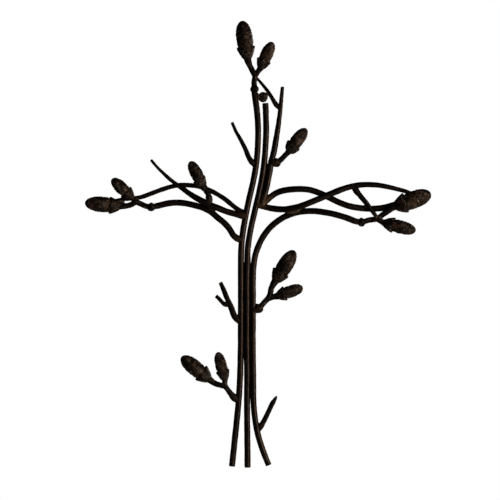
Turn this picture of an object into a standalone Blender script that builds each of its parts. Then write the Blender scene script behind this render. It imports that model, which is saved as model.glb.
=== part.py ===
"""Wall cross of bent round bar, with cast willow branches and catkins welded to it.

The cross hangs on a nail in the blind socket of a round boss. The origin is the middle of the
boss's back, the wall is the plane Y = 0, the front faces -Y and Z is up. Lengths are in metres.

The bars lie in layers: lift 0 is the plane of the upright, lift 1 is one bar further to the front
and lift -1 one bar nearer to the wall. Places across the front are drawn in millimetres from the
boss, on a cross of DRAWN_HEIGHT, and grow with CROSS_HEIGHT.
"""
import math

import bmesh
import bpy
import numpy as np
from mathutils import Matrix, Vector

# Overall size
CROSS_HEIGHT = 0.447
DRAWN_HEIGHT = 447.0

# Bars and twigs
ROD_DIAMETER = 0.006
WAVE_DIAMETER = 0.0045
WAVE_END_DIAMETER = 0.0032
UPPER_STEM_TOP_DIAMETER = 0.0033
LOW_WAVE_NECK_DIAMETER = 0.0049
LOW_WAVE_END_DIAMETER = 0.0033
LEFT_TWIG_NECK_DIAMETER = 0.0035
LEFT_TWIG_TIP_DIAMETER = 0.0024
DIAGONAL_FOOT_DIAMETER = 0.0045
DIAGONAL_MIDDLE_DIAMETER = 0.0037
DIAGONAL_TIP_DIAMETER = 0.0025
TWIG_DIAMETER = 0.0050
TWIG_TIP_DIAMETER = 0.0027
THORN_DIAMETER = 0.0047
THORN_NECK_DIAMETER = 0.0029
THORN_TIP_DIAMETER = 0.0010
FORKED_TWIG_TIP_DIAMETER = 0.0034
SIDE_TWIG_DIAMETER = 0.0034

# Castings
CASTING_STEM_DIAMETER = 0.0051
STALK_DIAMETER = 0.0047
STALK_END_DIAMETER = 0.0059
KNOT_DIAMETER = 0.0089
KNOT_HALF_LENGTH = 0.0030
FOOT_DIAMETER = 0.0080
CATKIN_FOOT_DIAMETER = 0.0073

# Catkins: shares of the length, except for the wall and the throat
CATKIN_SLENDERNESS = 0.43
WIDEST_HEIGHT = 0.5
BUD_FOOT_TAPER = 0.62
BUD_TIP_BLUNTNESS = 2.4
EAR_SPREAD = 1.23
EAR_HEIGHT = 0.31
EAR_SHARPNESS = 1.1
RIM_DIP_HEIGHT = 0.19
RIM_STEP = 0.012
CUP_FLARE = 0.75
CUP_BOTTOM = -0.03
CUP_THROAT_DIAMETER = 0.0058
CUP_WALL = 0.0008
STALK_INSET = 0.12

# Hanging boss
BOSS_DIAMETER = 0.0096
SOCKET_DIAMETER = 0.0064
SOCKET_DEPTH = 0.0062
BOSS_DOME = 0.0014
STEM_TOP_CLEARANCE = 0.0016
STEM_TOP_SPREAD = 3.0

# Fits
WELD_GAP = 0.0003
WALL_CLEARANCE = 0.0005
BACK_LIFT = 1.10

# Fineness of the solids
CURVE_STEP = 0.00025
CHORD_ERROR = 0.00010
TAPER_STEP = 0.0006
TURN_LIMIT = math.radians(11.0)
LONGEST_CHORD = 0.030
TUBE_SIDES = 8
CATKIN_SEGMENTS = 14
CUP_ROWS = 3
BODY_ROWS = 6
OUTLINE_POINTS = 80
BOSS_SEGMENTS = 24
DOME_STEPS = 5

# Worked out from the sizes above
UNIT = CROSS_HEIGHT / DRAWN_HEIGHT
ROD_RADIUS = ROD_DIAMETER / 2
LAYER = ROD_DIAMETER + WELD_GAP
STAND_OFF = BACK_LIFT * LAYER + ROD_RADIUS + WALL_CLEARANCE
BOSS_RADIUS = BOSS_DIAMETER / 2
BOSS_LENGTH = STAND_OFF + ROD_RADIUS


def clear_scene():
    """Removes whatever the scene holds."""
    for thing in list(bpy.data.objects):
        bpy.data.objects.remove(thing, do_unlink=True)


def collection(name):
    """A new collection in the scene."""
    group = bpy.data.collections.new(name)
    bpy.context.scene.collection.children.link(group)
    return group


def finish(name, colour, roughness, metallic):
    """A plain material of one colour."""
    material = bpy.data.materials.new(name)
    material.use_nodes = True
    shader = material.node_tree.nodes["Principled BSDF"]
    shader.inputs["Base Color"].default_value = (*colour, 1.0)
    shader.inputs["Roughness"].default_value = roughness
    shader.inputs["Metallic"].default_value = metallic
    return material


def place(x, z, lift=0.0):
    """A point drawn at x and z on the front, in the layer of the given lift."""
    return np.array([x * UNIT, -STAND_OFF - lift * LAYER, z * UNIT])


def places(rows):
    """The points of rows of x, z and lift."""
    return np.array([place(*row) for row in rows])


def unit_vector(vector):
    """The direction of a vector."""
    return vector / np.linalg.norm(vector)


class Path:
    """The centre line of a bar, as close points, with the radius at each."""

    def __init__(self, points, radii):
        self.points = points
        self.radii = radii

    def at_height(self, z, lift=0.0):
        """The point of the centre line at a drawn height, moved by a lift."""
        nearest = np.argmin(np.abs(self.points[:, 2] - z * UNIT))
        return self.points[nearest] + np.array([0.0, -lift * LAYER, 0.0])

    def at_width(self, x, lift=0.0):
        """The point of the centre line at a drawn distance to the right of the boss."""
        nearest = np.argmin(np.abs(self.points[:, 0] - x * UNIT))
        return self.points[nearest] + np.array([0.0, -lift * LAYER, 0.0])

    def across_at_height(self, z):
        """The direction square to the bar, to its right, at a drawn height."""
        nearest = np.argmin(np.abs(self.points[:, 2] - z * UNIT))
        nearest = min(max(nearest, 1), len(self.points) - 2)
        along = unit_vector(self.points[nearest + 1] - self.points[nearest - 1])
        return unit_vector(np.array([abs(along[2]), 0.0, -along[0] * np.sign(along[2])]))

    def carried_on(self):
        """Two points straight on from the last end, the first a weld gap from it."""
        along = unit_vector(self.points[-1] - self.points[-2])
        first = self.points[-1] + along * WELD_GAP
        return first, first + along * self.radii[-1] / 2


def spline(controls):
    """Close points on a natural cubic spline through the control points."""
    knots = np.concatenate([[0.0], np.cumsum(np.linalg.norm(np.diff(controls, axis=0), axis=1))])
    steps = np.diff(knots)
    count = len(controls)
    matrix = np.eye(count)
    right = np.zeros_like(controls)
    for i in range(1, count - 1):
        matrix[i, i - 1:i + 2] = steps[i - 1], 2 * (steps[i - 1] + steps[i]), steps[i]
        right[i] = 6 * ((controls[i + 1] - controls[i]) / steps[i]
                        - (controls[i] - controls[i - 1]) / steps[i - 1])
    bends = np.linalg.solve(matrix, right)
    along = np.linspace(0.0, knots[-1], max(8, int(knots[-1] / CURVE_STEP)))
    piece = np.clip(np.searchsorted(knots, along, side="right") - 1, 0, count - 2)
    width = steps[piece][:, None]
    after = (along - knots[piece])[:, None] / width
    before = 1.0 - after
    return (before * controls[piece] + after * controls[piece + 1]
            + width ** 2 / 6 * ((before ** 3 - before) * bends[piece]
                                + (after ** 3 - after) * bends[piece + 1]))


def bar(controls, taper):
    """A path through control points; taper gives diameters at shares of the length."""
    points = spline(np.array(controls))
    lengths = np.concatenate([[0.0], np.cumsum(np.linalg.norm(np.diff(points, axis=0), axis=1))])
    shares, diameters = zip(*taper)
    radii = np.interp(lengths / lengths[-1], shares, diameters) / 2
    return Path(points, radii)


def thinned(path):
    """The indices of the few points that keep the bar's bends within the chord error."""
    points = path.points
    ways = np.diff(points, axis=0)
    lengths = np.linalg.norm(ways, axis=1)
    ways = ways / lengths[:, None]
    kept = [0]
    gone = 0.0
    for i in range(1, len(points) - 1):
        gone += lengths[i - 1]
        turned = math.acos(min(1.0, float(ways[kept[-1]] @ ways[i])))
        swollen = abs(path.radii[i] - path.radii[kept[-1]]) > TAPER_STEP
        bent = gone * turned / 8 > CHORD_ERROR or turned > TURN_LIMIT
        if bent or swollen or gone > LONGEST_CHORD:
            kept.append(i)
            gone = 0.0
    kept.append(len(points) - 1)
    return kept


def tube(name, path, group, material=None):
    """A round bar along a path, as a curve with a bevel and filled ends."""
    kept = thinned(path)
    curve = bpy.data.curves.new(name, "CURVE")
    curve.dimensions = "3D"
    curve.bevel_depth = 1.0
    curve.bevel_resolution = TUBE_SIDES // 2 - 2
    curve.use_fill_caps = True
    curve.render_resolution_u = 0
    line = curve.splines.new("POLY")
    line.points.add(len(kept) - 1)
    for point, index in zip(line.points, kept):
        point.co = (*path.points[index], 1.0)
        point.radius = path.radii[index]
    thing = bpy.data.objects.new(name, curve)
    if material:
        curve.materials.append(material)
    group.objects.link(thing)
    return thing


def meshed(thing, group):
    """A mesh object with welded caps, in place of a curve object."""
    bpy.context.view_layer.update()
    evaluated = thing.evaluated_get(bpy.context.evaluated_depsgraph_get())
    mesh = bpy.data.meshes.new_from_object(evaluated)
    work = bmesh.new()
    work.from_mesh(mesh)
    bmesh.ops.remove_doubles(work, verts=work.verts, dist=1e-6)
    work.to_mesh(mesh)
    work.free()
    solid = bpy.data.objects.new(thing.name, mesh)
    solid.matrix_world = thing.matrix_world
    curve = thing.data
    bpy.data.objects.remove(thing, do_unlink=True)
    bpy.data.curves.remove(curve)
    group.objects.link(solid)
    return solid


def body_radius(share):
    """A catkin's radius, as a share of its greatest, at a share of its length."""
    if share < WIDEST_HEIGHT:
        return 1.0 - ((WIDEST_HEIGHT - share) / BUD_FOOT_TAPER) ** 2
    above = (share - WIDEST_HEIGHT) / (1.0 - WIDEST_HEIGHT)
    return math.sqrt(max(0.0, 1.0 - above ** BUD_TIP_BLUNTNESS))


def cup_radius(share, widest):
    """The outer radius of the two scales, which open from the stalk out to the ears."""
    throat = CUP_THROAT_DIAMETER / 2
    opened = throat + (widest * EAR_SPREAD - throat) * (share / EAR_HEIGHT) ** CUP_FLARE
    return max(opened, widest * body_radius(share) + CUP_WALL)


def catkin(name, base, tip, plumpness, group):
    """A furry bud in a cup of two pointed scales, whose ears stand out at the sides.

    A ball is drawn out row by row: the lower rows make the cup, up to a rim that rises to the
    ears and dips between them, and the upper rows make the bud that stands in it.
    """
    length = np.linalg.norm(tip - base)
    widest = length * CATKIN_SLENDERNESS * plumpness / 2
    rows = CUP_ROWS + 1 + BODY_ROWS
    work = bmesh.new()
    bmesh.ops.create_uvsphere(work, u_segments=CATKIN_SEGMENTS, v_segments=rows + 1, radius=1.0)
    for vertex in work.verts:
        row = round(math.acos(max(-1.0, min(1.0, -vertex.co.z))) / math.pi * (rows + 1))
        turn = math.atan2(vertex.co.y, vertex.co.x)
        ear = 1.0 - abs(math.sin(turn)) ** EAR_SHARPNESS
        rim = RIM_DIP_HEIGHT + (EAR_HEIGHT - RIM_DIP_HEIGHT) * ear
        seat = rim + RIM_STEP
        if row == 0:
            height, radius = CUP_BOTTOM, 0.0
        elif row <= CUP_ROWS:
            height = rim * (row - 0.6) / (CUP_ROWS - 0.6)
            radius = cup_radius(height, widest)
        elif row <= rows:
            step = (row - CUP_ROWS - 1) / (BODY_ROWS + 0.15)
            height = seat + (1.0 - seat) * math.sin(step * math.pi / 2)
            radius = widest * body_radius(height)
        else:
            height, radius = 1.0, 0.0
        vertex.co = (radius * math.cos(turn), radius * math.sin(turn), height * length)
    along = Vector(tip - base).normalized()
    back = Vector((0.0, 1.0, 0.0))
    across = back.cross(along).normalized()
    back = along.cross(across)
    turned = Matrix((across, back, along)).transposed().to_4x4()
    bmesh.ops.transform(work, matrix=Matrix.Translation(Vector(base)) @ turned, verts=work.verts)
    mesh = bpy.data.meshes.new(name)
    work.to_mesh(mesh)
    work.free()
    solid = bpy.data.objects.new(name, mesh)
    group.objects.link(solid)
    shares = np.linspace(0.0, 1.0, OUTLINE_POINTS)
    radii = [cup_radius(share, widest) if share <= EAR_HEIGHT else widest * body_radius(share)
             for share in shares]
    radii = np.maximum(radii, CUP_WALL) / math.cos(math.pi / TUBE_SIDES)
    return solid, Path(base + shares[:, None] * (tip - base), radii)


def with_knot(path, middle):
    """The path with a swelling, like a leaf scar, around a point of it."""
    away = np.linalg.norm(path.points - middle, axis=1) / KNOT_HALF_LENGTH
    swelling = np.clip(1.0 - away ** 2, 0.0, 1.0)
    radii = path.radii + (KNOT_DIAMETER / 2 - path.radii) * swelling
    return Path(path.points, radii)


def work_on(whole, operation, other):
    """Joins a solid to another, or cuts it out, and keeps it as a hidden guide."""
    change = whole.modifiers.new(operation.lower(), "BOOLEAN")
    change.operation = operation
    change.object = other
    other.display_type = "WIRE"
    other.hide_render = True
    other.hide_set(True)


def one_piece(name, solids, neighbours, parts, cutters, material):
    """One object: the first solid, joined by the others and coped to fit its neighbours.

    A neighbour's bar is cut out a weld gap larger all round, so that the ends sit on it.
    """
    whole = solids[0]
    whole.name = name
    whole.data.materials.clear()
    whole.data.materials.append(material)
    cutters.objects.unlink(whole)
    parts.objects.link(whole)
    for other in solids[1:]:
        work_on(whole, "UNION", other)
    for number, neighbour in enumerate(neighbours):
        grown = Path(neighbour.points, neighbour.radii + WELD_GAP)
        cope = meshed(tube(f"{name}_cope_{number}", grown, cutters), cutters)
        work_on(whole, "DIFFERENCE", cope)


def coped_bar(name, path, neighbours, parts, cutters, material):
    """A bar whose ends run into its neighbours and are coped to fit them."""
    solid = meshed(tube(f"{name}_bar", path, cutters), cutters)
    one_piece(name, [solid], neighbours, parts, cutters, material)


def casting(name, stem, stalks, catkins, neighbours, parts, cutters, material):
    """A cast branch: a stem, stalks from its fork and the catkins on them.

    Gives the paths of all its members, which other bars are then kept clear of.
    """
    solids = []
    members = [stem, *stalks]
    for number, member in enumerate(members):
        solids.append(meshed(tube(f"{name}_limb_{number}", member, cutters), cutters))
    for number, (base, tip, plumpness) in enumerate(catkins):
        solid, outline = catkin(f"{name}_catkin_{number}", base, tip, plumpness, cutters)
        solids.append(solid)
        members.append(outline)
    one_piece(name, solids, neighbours, parts, cutters, material)
    return members


def beside(path, rows):
    """Points to the right of a bar, touching it or spread from it by a drawn distance."""
    return [path.at_height(z) + path.across_at_height(z) * (LAYER + spread * UNIT)
            for z, spread in rows]


def build_upright():
    """The three long bars, side by side, and the tapered one at the top right."""
    round_boss = -(BOSS_RADIUS + WELD_GAP + ROD_RADIUS) / UNIT
    left = bar(places([
        (-30.9, -369.5), (-27.2, -333.0), (-24.5, -301.0), (-23.0, -269.0), (-22.5, -223.0),
        (-22.5, -175.0), (-21.8, -151.0), (-19.5, -131.0), (-13.3, -99.7), (-8.7, -78.0),
        (-5.8, -55.0), (-5.1, -33.0), (-6.2, -13.2), (round_boss, 0.0), (-8.5, 3.3)]),
        [(0, ROD_DIAMETER), (1, ROD_DIAMETER)])
    top = -(BOSS_RADIUS + STEM_TOP_CLEARANCE) / UNIT
    under_boss = left.at_height(top) + np.array([LAYER + STEM_TOP_SPREAD * UNIT, 0.0, 0.0])
    middle = bar([*beside(left, [
        (-369.0, 9.2), (-333.0, 5.0), (-303.0, 2.3), (-270.0, 0.7), (-250.0, 0.1), (-210.0, 0.0),
        (-165.0, 0.0), (-148.0, 0.6), (-130.0, 1.3), (-80.0, 1.9), (-50.0, 1.6), (-25.0, 2.1)]),
        under_boss],
        [(0, ROD_DIAMETER), (1, ROD_DIAMETER)])
    bottom = beside(middle, [
        (-368.3, 15.2), (-350.0, 8.0), (-335.0, 4.0), (-318.0, 1.2), (-300.0, 0.1), (-260.0, 0.0),
        (-215.0, 0.0), (-176.0, 0.0)])
    arm = places([
        (-8.6, -162.2), (-4.1, -147.7), (6.8, -131.0), (21.2, -120.2), (36.9, -115.0),
        (48.9, -114.2), (64.9, -116.1), (80.9, -120.2), (92.9, -124.8)])
    right = bar([*bottom, *arm], [(0, ROD_DIAMETER), (1, ROD_DIAMETER)])
    return left, middle, right


def build_right_side(middle):
    """The low wave and the upper stem off the middle bar, and the high wave off the latter."""
    low = bar([middle.at_height(-107.6), *places([
        (5.9, -111.0, 0.20), (17.9, -112.6, 0.50), (27.2, -111.9, 0.72), (39.2, -108.8, 0.78),
        (52.9, -103.3, 0.68), (70.9, -95.7, 0.58), (82.9, -91.2, 0.45), (94.9, -88.5, 0.36),
        (106.9, -87.9, 0.30), (118.9, -89.0, 0.25), (132.9, -92.1, 0.18), (144.9, -95.4, 0.08),
        (154.0, -99.8, 0.0)])],
        [(0, ROD_DIAMETER), (0.5, ROD_DIAMETER), (0.78, LOW_WAVE_NECK_DIAMETER),
         (1, LOW_WAVE_END_DIAMETER)])
    upper = bar([low.at_width(-0.5), *reversed(beside(middle, [
        (-66.0, 0.4), (-75.0, 0.4), (-85.0, 0.3), (-98.0, 0.0)])), *places([
            (10.6, -55.2), (12.4, -45.2), (14.1, -35.2), (15.5, -25.2), (17.2, -13.0),
            (18.5, 0.0), (19.4, 10.1)])],
        [(0, ROD_DIAMETER), (0.52, ROD_DIAMETER), (1, UPPER_STEM_TOP_DIAMETER)])
    high = bar([upper.at_height(-101.5), *places([
        (6.9, -99.6, 0.0), (17.9, -94.4, -0.06), (31.9, -92.2, -0.2), (45.9, -92.9, -0.35),
        (58.9, -97.2, -0.42), (72.9, -104.0, -0.45), (84.9, -108.8, -0.55),
        (96.9, -111.1, -0.7), (109.9, -111.8, -0.85), (120.9, -110.8, -0.9),
        (134.0, -107.0, -0.6)])],
        [(0, ROD_DIAMETER), (1, ROD_DIAMETER)])
    return low, upper, high


def build_left_side(left):
    """The left arm, the thin wave behind it and the tapered twig in front."""
    arm = bar([left.at_height(-143.2), *places([
        (-27.5, -140.5), (-34.7, -130.7), (-44.0, -121.7), (-55.0, -113.0), (-68.0, -108.4),
        (-80.0, -106.2), (-94.0, -106.4), (-106.0, -109.2)])],
        [(0, ROD_DIAMETER), (1, ROD_DIAMETER)])
    wave = bar([left.at_height(-117.0, -0.35), *places([
        (-26.6, -111.5, -0.5), (-38.0, -102.4, -0.55), (-50.1, -95.1, -0.55),
        (-60.1, -90.7, -0.55), (-73.1, -88.4, -0.55), (-85.1, -88.4, -0.55),
        (-96.9, -91.1, -0.65), (-109.1, -95.3, -0.85), (-121.3, -99.8, -1.05),
        (-131.1, -101.5, -1.08), (-139.1, -102.2, -0.95), (-156.0, -106.4, -0.4)])],
        [(0, WAVE_DIAMETER), (0.7, WAVE_DIAMETER), (1, WAVE_END_DIAMETER)])
    twig = bar([left.at_height(-119.6, 0.35), *places([
        (-30.2, -116.6, 0.45), (-43.1, -112.2, 0.68), (-50.8, -109.0, 0.78),
        (-59.1, -105.2, 0.80), (-66.2, -101.5, 0.78), (-73.2, -97.2, 0.66),
        (-83.6, -89.7, 0.45), (-91.3, -84.0, 0.38), (-97.2, -78.9, 0.34),
        (-103.1, -73.2, 0.32), (-108.2, -67.8, 0.3), (-112.1, -63.0, 0.3)])],
        [(0, ROD_DIAMETER), (0.45, ROD_DIAMETER), (0.75, LEFT_TWIG_NECK_DIAMETER),
         (1, LEFT_TWIG_TIP_DIAMETER)])
    return arm, wave, twig


def stalk(controls):
    """A cast stalk that thickens towards the cup it carries."""
    return bar(controls, [(0, STALK_DIAMETER), (0.6, STALK_DIAMETER), (1, STALK_END_DIAMETER)])


def inside(base, tip):
    """A point a little way into a catkin's cup, where its stalk ends."""
    return base + (tip - base) * STALK_INSET


def forked_branch(name, stem, fork, twigs, neighbours, parts, cutters, material):
    """A casting with a catkin at the end of each of its stalks.

    Each twig is the route of its stalk, the base and the tip of its catkin and its plumpness.
    """
    stalks = []
    catkins = []
    for route, base, tip, plumpness in twigs:
        foot = place(*base)
        top = place(*tip)
        stalks.append(stalk([fork, *places(route), foot, inside(foot, top)]))
        catkins.append((foot, top, plumpness))
    return casting(name, stem, stalks, catkins, neighbours, parts, cutters, material)


def build_arm_branches(left, arm, right, parts, cutters, material):
    """The castings that carry on from the left stem and from both arms."""
    stem_taper = [(0, ROD_DIAMETER), (0.5, CASTING_STEM_DIAMETER), (1, CASTING_STEM_DIAMETER)]
    fork = place(-8.0, 21.0)
    stem = bar([*left.carried_on(), *places([(-8.6, 7.3), (-8.9, 14.5)]), fork], stem_taper)
    top = forked_branch("top_branch", with_knot(stem, place(-8.6, 7.6)), fork, [
        ([(-12.2, 29.5)], (-15.4, 38.8), (-21.1, 75.8, 0.3), 0.98),
        ([(-5.3, 25.3)], (-3.2, 29.3), (8.7, 54.6, 0.5), 0.99)],
        [], parts, cutters, material)
    fork = place(-127.3, -104.9)
    stem = bar([*arm.carried_on(), *places([(-111.9, -110.1), (-118.8, -108.6)]), fork], stem_taper)
    west = forked_branch("left_arm_branch", with_knot(stem, place(-111.9, -110.0)), fork, [
        ([(-133.6, -109.0), (-138.5, -110.1)], (-143.1, -109.3), (-178.0, -106.4, 0.4), 1.02),
        ([(-129.5, -102.4)], (-131.4, -100.8, 0.1), (-150.9, -82.2, 0.6), 1.06)],
        [], parts, cutters, material)
    fork = place(114.1, -121.8)
    stem = bar([*right.carried_on(), *places([(98.4, -125.2), (106.2, -122.8)]), fork], stem_taper)
    east = forked_branch("right_arm_branch", with_knot(stem, place(98.4, -125.2)), fork, [
        ([(118.8, -117.8), (124.6, -113.4)], (131.6, -109.4), (168.4, -97.2, 0.3), 1.06),
        ([(117.6, -124.2)], (120.8, -125.8), (152.4, -133.6, 0.5), 0.94)],
        [], parts, cutters, material)
    return top, west, east


def build_side_branches(left, right, upper, twig, parts, cutters, material):
    """The castings welded to the sides of the bars, each with a swollen foot."""
    foot_taper = [(0, FOOT_DIAMETER), (0.36, FOOT_DIAMETER), (0.5, CASTING_STEM_DIAMETER),
                  (1, CASTING_STEM_DIAMETER)]
    fork = place(6.3, -199.6)
    stem = bar([right.at_height(-213.5), *places([(-4.0, -212.6), (0.7, -207.0)]), fork],
               foot_taper)
    forked_branch("lower_right_branch", stem, fork, [
        ([(7.2, -193.0)], (11.6, -184.2), (31.0, -153.6, 0.4), 1.0),
        ([(9.6, -198.9)], (14.6, -198.4), (39.9, -190.6, 0.2), 1.08)],
        [right], parts, cutters, material)
    fork = place(-38.0, -289.4)
    stem = bar([left.at_height(-304.5), *places([(-27.6, -301.4), (-32.9, -295.4)]), fork],
               [(0, ROD_DIAMETER), (0.6, CASTING_STEM_DIAMETER), (1, CASTING_STEM_DIAMETER)])
    forked_branch("lower_left_branch", stem, fork, [
        ([(-44.9, -287.6), (-50.0, -285.2)], (-54.0, -282.9), (-82.0, -260.4, 0.4), 1.0),
        ([(-38.3, -285.5)], (-38.0, -282.2), (-44.7, -255.2, 0.2), 0.98)],
        [left], parts, cutters, material)
    stem = bar([upper.at_height(-66.0), *places([(12.6, -66.2), (17.2, -65.2)])],
               [(0, FOOT_DIAMETER), (0.7, FOOT_DIAMETER), (1, STALK_DIAMETER)])
    forked_branch("upper_right_catkin", stem, place(14.4, -65.8), [
        ([(17.8, -62.9), (20.8, -59.8)], (25.6, -55.0), (43.0, -32.0, 0.3), 1.1)],
        [upper], parts, cutters, material)
    rise = place(-54.9, -98.8, 0.82)
    stem = bar([twig.at_height(-107.2), place(-53.9, -103.6, 0.82), rise],
               [(0, CATKIN_FOOT_DIAMETER), (0.75, CATKIN_FOOT_DIAMETER), (1, STALK_DIAMETER)])
    forked_branch("left_twig_catkin", stem, place(-54.3, -101.2, 0.82), [
        ([(-55.9, -95.0, 0.82)], (-59.4, -89.9, 0.8), (-72.4, -64.4, 0.6), 1.0)],
        [twig], parts, cutters, material)


def build_twigs(left, right, upper, low, top_stem):
    """The thin tapered twigs, of which the diagonal one passes close by the boss."""
    away = unit_vector(np.array([0.815, 0.0, 0.579]))
    round_boss = place(0.0, 0.0) + away * (BOSS_RADIUS + WELD_GAP + DIAGONAL_MIDDLE_DIAMETER / 2)
    diagonal = bar([upper.at_height(-11.5), *places([(12.9, -7.6), (9.5, -2.2)]), round_boss,
                    place(-0.9, 12.5), top_stem.at_height(20.6)],
                   [(0, DIAGONAL_FOOT_DIAMETER), (0.48, DIAGONAL_MIDDLE_DIAMETER),
                    (1, DIAGONAL_TIP_DIAMETER)])
    strut = bar([low.at_width(90.5), *places([
        (93.4, -94.6, 0.38), (97.0, -99.0, 0.34), (104.0, -107.2, 0.25), (114.0, -121.0)])],
        [(0, TWIG_DIAMETER), (0.3, TWIG_DIAMETER), (1, TWIG_TIP_DIAMETER)])
    sprig = bar([left.at_height(-69.5), *places([
        (-12.9, -64.0), (-18.2, -51.8), (-24.4, -39.6), (-30.2, -27.8), (-31.0, -25.4)])],
        [(0, TWIG_DIAMETER), (0.2, TWIG_DIAMETER), (1, TWIG_TIP_DIAMETER)])
    thorn = bar([right.at_height(-334.5), *places([
        (1.3, -323.6), (8.8, -308.2), (14.1, -299.2)])],
        [(0, THORN_DIAMETER), (0.82, THORN_DIAMETER), (0.94, THORN_NECK_DIAMETER),
         (1, THORN_TIP_DIAMETER)])
    return diagonal, strut, sprig, thorn


def build_forked_twig(left, parts, cutters, material):
    """The short twig low on the left stem, with a side twig, as one solid."""
    main = bar([left.at_height(-225.5), *places([
        (-28.6, -219.2), (-31.8, -211.5), (-37.0, -199.2), (-40.2, -191.2), (-42.8, -185.5)])],
        [(0, ROD_DIAMETER), (0.25, ROD_DIAMETER), (1, FORKED_TWIG_TIP_DIAMETER)])
    side = bar([main.at_height(-208.2), *places([
        (-39.0, -206.9), (-43.6, -202.4), (-47.3, -199.1)])],
        [(0, SIDE_TWIG_DIAMETER), (1, SIDE_TWIG_DIAMETER)])
    solids = [meshed(tube("lower_left_main", main, cutters), cutters),
              meshed(tube("lower_left_side", side, cutters), cutters)]
    one_piece("lower_left_twig", solids, [left], parts, cutters, material)


def build_boss(parts, material):
    """The boss: a short round bar with a domed front and a blind socket in its back."""
    profile = [(0.0, BOSS_LENGTH)]
    for step in range(1, DOME_STEPS + 1):
        turn = step / DOME_STEPS * math.pi / 2
        profile.append((BOSS_RADIUS * math.sin(turn),
                        BOSS_LENGTH - BOSS_DOME * (1.0 - math.cos(turn))))
    socket = SOCKET_DIAMETER / 2
    profile += [(BOSS_RADIUS, 0.0), (socket, 0.0), (socket, SOCKET_DEPTH), (0.0, SOCKET_DEPTH)]
    mesh = bpy.data.meshes.new("hanging_boss")
    edges = [(i, i + 1) for i in range(len(profile) - 1)]
    mesh.from_pydata([(r, 0.0, h) for r, h in profile], edges, [])
    mesh.materials.append(material)
    boss = bpy.data.objects.new("hanging_boss", mesh)
    boss.rotation_euler = (math.pi / 2, 0.0, 0.0)
    parts.objects.link(boss)
    turned = boss.modifiers.new("turned", "SCREW")
    turned.steps = BOSS_SEGMENTS
    turned.render_steps = BOSS_SEGMENTS
    turned.use_merge_vertices = True
    turned.merge_threshold = 0.00001


def build():
    """Works out the paths of all bars first, and then makes the solids that meet along them."""
    clear_scene()
    parts = collection("metal_wall_cross")
    cutters = collection("joined_shapes")
    bar_finish = finish("dark_bronze_bar", (0.022, 0.016, 0.012), 0.42, 0.75)
    cast_finish = finish("dark_bronze_casting", (0.035, 0.026, 0.019), 0.55, 0.65)

    left, middle, right = build_upright()
    low, upper, high = build_right_side(middle)
    arm, wave, twig = build_left_side(left)
    top, west, east = build_arm_branches(left, arm, right, parts, cutters, cast_finish)
    build_side_branches(left, right, upper, twig, parts, cutters, cast_finish)
    diagonal, strut, sprig, thorn = build_twigs(left, right, upper, low, top[0])
    for name, path in {"left_stem": left, "middle_stem": middle, "right_stem_arm": right}.items():
        tube(name, path, parts, bar_finish)
    welded = {
        "right_wave_low": (low, [middle, *east]), "right_upper_stem": (upper, [low, middle]),
        "right_wave_high": (high, [upper, *east]), "left_arm": (arm, [left]),
        "left_wave": (wave, [left, *west]), "left_twig": (twig, [left]),
        "right_strut": (strut, [low, *east]), "top_diagonal_twig": (diagonal, [upper, *top]),
        "top_left_twig": (sprig, [left]), "lower_right_thorn": (thorn, [right])}
    for name, (path, neighbours) in welded.items():
        coped_bar(name, path, neighbours, parts, cutters, bar_finish)
    build_forked_twig(left, parts, cutters, bar_finish)
    build_boss(parts, bar_finish)


build()
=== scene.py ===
"""The wall cross in its finish: forged bars, weld beads, cast branches and furry catkins.

Every solid of the frame is replaced by a finer skin of the same form. The bars lie in layers:
lift 0 is the plane of the upright, lift 1 one bar further to the front and lift -1 one bar nearer
to the wall. Places are drawn in millimetres from the boss, and the sizes of weld beads are in
millimetres too; all else is in metres.
"""
import math

import bpy
import numpy as np
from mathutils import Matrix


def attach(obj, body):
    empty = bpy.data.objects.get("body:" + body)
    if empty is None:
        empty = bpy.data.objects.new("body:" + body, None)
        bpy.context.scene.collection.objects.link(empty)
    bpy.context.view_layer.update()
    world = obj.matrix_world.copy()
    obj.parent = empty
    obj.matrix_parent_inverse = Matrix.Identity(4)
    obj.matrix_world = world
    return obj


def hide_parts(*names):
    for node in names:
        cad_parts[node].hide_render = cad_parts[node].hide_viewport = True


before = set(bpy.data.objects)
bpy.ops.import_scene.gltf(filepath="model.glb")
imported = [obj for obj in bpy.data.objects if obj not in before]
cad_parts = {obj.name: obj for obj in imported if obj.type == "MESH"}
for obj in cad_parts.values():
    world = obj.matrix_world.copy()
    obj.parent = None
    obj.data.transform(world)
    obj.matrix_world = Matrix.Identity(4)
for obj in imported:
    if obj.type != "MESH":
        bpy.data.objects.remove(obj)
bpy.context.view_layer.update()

MM = 0.001
TOWARDS_WALL = np.array([0.0, 1.0, 0.0])

# Diameters, and the radius of the boss
ROD = 0.006
WAVE = 0.0045
CAST_STEM = 0.0053
STALK = 0.0054
STALK_END = 0.0075
KNOT = 0.0089
FOOT = 0.0080
BOSS_RADIUS = 0.0048

# Distances: between bars that lie on each other or side by side, from the wall to the upright's
# axes, from a knot's middle to its end, and from a solid's surface to its skin's
GAP = 0.0003
TOUCHING = 0.00003
LAYER = ROD + GAP
STAND_OFF = 1.10 * LAYER + ROD / 2 + 0.0005
KNOT_REACH = 0.0030
COAT = 0.00017


# Centre lines

def place(x, z, lift=0.0):
    """A point drawn at x and z on the front, in the layer of the given lift."""
    return np.array([x * MM, -STAND_OFF - lift * LAYER, z * MM])


def places(rows):
    """The points of rows of x, z and lift."""
    return np.array([place(*row) for row in rows])


def unit(vectors):
    """Directions of vectors, along the last axis."""
    return vectors / np.linalg.norm(vectors, axis=-1, keepdims=True)


def lengths_along(points):
    """The length of a line of points up to each of them."""
    return np.concatenate([[0.0], np.cumsum(np.linalg.norm(np.diff(points, axis=0), axis=1))])


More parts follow.
